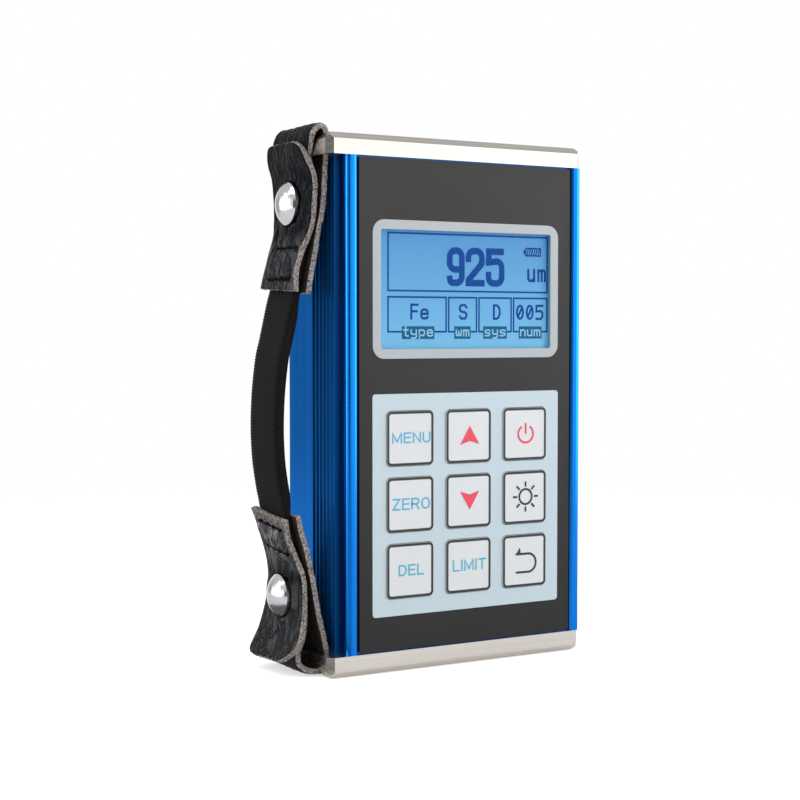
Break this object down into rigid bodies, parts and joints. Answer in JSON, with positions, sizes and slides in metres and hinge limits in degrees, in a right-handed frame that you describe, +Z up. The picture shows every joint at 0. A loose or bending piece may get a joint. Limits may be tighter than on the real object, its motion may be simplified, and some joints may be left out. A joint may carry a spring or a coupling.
{
  "type": "coating thickness gauge",
  "caption": "Hand-held coating thickness gauge: blue extruded housing, bright end plates, lit display, square keypad, probe socket and a leather and elastic hand strap.",
  "frame": {"origin": "on the ground, below the middle of the whole object as it stands", "axes": "+X to the right seen from the front with the strap at -X, +Y to the rear, +Z up to the socket end"},
  "size_m": [0.0802, 0.031, 0.1276],
  "materials": {
    "blue_anodised": "blue anodised extrusion, satin",
    "end_plate_metal": "finely brushed bright metal",
    "screw_steel": "plated screws and nut",
    "panel_dark": "dark grey fine-textured film",
    "border_grey": "pale grey print under film",
    "window_clear": "clear window",
    "lcd_blue": "blue backlit liquid crystal",
    "backlight_white": "white light guide",
    "keypad_pale": "pale blue-grey film",
    "key_white": "off-white key with a dark outline",
    "board_green": "green solder mask",
    "chip_black": "black moulding",
    "socket_metal": "nickel-plated barrel",
    "contact_gold": "gilt pins",
    "contact_steel": "thin plated steel",
    "tray_black": "black moulded plastic",
    "door_black": "black moulded plastic, fine texture",
    "cell_jacket": "printed cell jacket",
    "elastic_black": "black ribbed elastic",
    "leather_black": "grained black leather with grey-brown cut edges",
    "snap_chrome": "polished dome"
  },
  "bodies": {
    "gauge": {"housing": "blue_anodised", "top_end_plate": "end_plate_metal", "bottom_end_plate": "end_plate_metal", "top_plate_screws": "screw_steel", "bottom_plate_screws": "screw_steel", "front_panel": "panel_dark", "display_border": "border_grey", "display_window": "window_clear", "lcd_panel": "lcd_blue", "lcd_backlight": "backlight_white", "keypad_frame": "keypad_pale", "key_domes": "contact_steel", "main_board": "board_green", "processor_chip": "chip_black", "amplifier_shield": "contact_steel", "buzzer": "chip_black", "socket_shell": "socket_metal", "socket_insert": "tray_black", "socket_contacts": "contact_gold", "socket_nut": "screw_steel", "battery_tray": "tray_black", "battery_cells": "cell_jacket", "battery_contacts": "contact_steel", "elastic_band": "elastic_black", "top_strap_tongue": "leather_black", "bottom_strap_tongue": "leather_black", "top_strap_loop": "leather_black", "bottom_strap_loop": "leather_black", "top_snap_cap": "snap_chrome", "bottom_snap_cap": "snap_chrome", "top_snap_stud": "contact_steel", "bottom_snap_stud": "contact_steel"},
    "key_menu": {"key_menu": "key_white"},
    "key_up": {"key_up": "key_white"},
    "key_power": {"key_power": "key_white"},
    "key_zero": {"key_zero": "key_white"},
    "key_down": {"key_down": "key_white"},
    "key_light": {"key_light": "key_white"},
    "key_delete": {"key_delete": "key_white"},
    "key_limit": {"key_limit": "key_white"},
    "key_back": {"key_back": "key_white"},
    "battery_door": {"battery_door": "door_black"}
  },
  "joints": [
    {"name": "key_menu_press", "type": "slide", "parent": "gauge", "child": "key_menu", "axis": [0, 1, 0], "range_m": [0, 0.0004], "stiffness_N_per_m": 3000, "springref_m": -0.0003},
    {"name": "key_up_press", "type": "slide", "parent": "gauge", "child": "key_up", "axis": [0, 1, 0], "range_m": [0, 0.0004], "stiffness_N_per_m": 3000, "springref_m": -0.0003},
    {"name": "key_power_press", "type": "slide", "parent": "gauge", "child": "key_power", "axis": [0, 1, 0], "range_m": [0, 0.0004], "stiffness_N_per_m": 3000, "springref_m": -0.0003},
    {"name": "key_zero_press", "type": "slide", "parent": "gauge", "child": "key_zero", "axis": [0, 1, 0], "range_m": [0, 0.0004], "stiffness_N_per_m": 3000, "springref_m": -0.0003},
    {"name": "key_down_press", "type": "slide", "parent": "gauge", "child": "key_down", "axis": [0, 1, 0], "range_m": [0, 0.0004], "stiffness_N_per_m": 3000, "springref_m": -0.0003},
    {"name": "key_light_press", "type": "slide", "parent": "gauge", "child": "key_light", "axis": [0, 1, 0], "range_m": [0, 0.0004], "stiffness_N_per_m": 3000, "springref_m": -0.0003},
    {"name": "key_delete_press", "type": "slide", "parent": "gauge", "child": "key_delete", "axis": [0, 1, 0], "range_m": [0, 0.0004], "stiffness_N_per_m": 3000, "springref_m": -0.0003},
    {"name": "key_limit_press", "type": "slide", "parent": "gauge", "child": "key_limit", "axis": [0, 1, 0], "range_m": [0, 0.0004], "stiffness_N_per_m": 3000, "springref_m": -0.0003},
    {"name": "key_back_press", "type": "slide", "parent": "gauge", "child": "key_back", "axis": [0, 1, 0], "range_m": [0, 0.0004], "stiffness_N_per_m": 3000, "springref_m": -0.0003},
    {"name": "battery_door_hinge", "type": "hinge", "parent": "gauge", "child": "battery_door", "pos_m": [0.00713, 0.0144, 0.0205], "axis": [-1, 0, 0], "range_deg": [0, 95]}
  ]
}
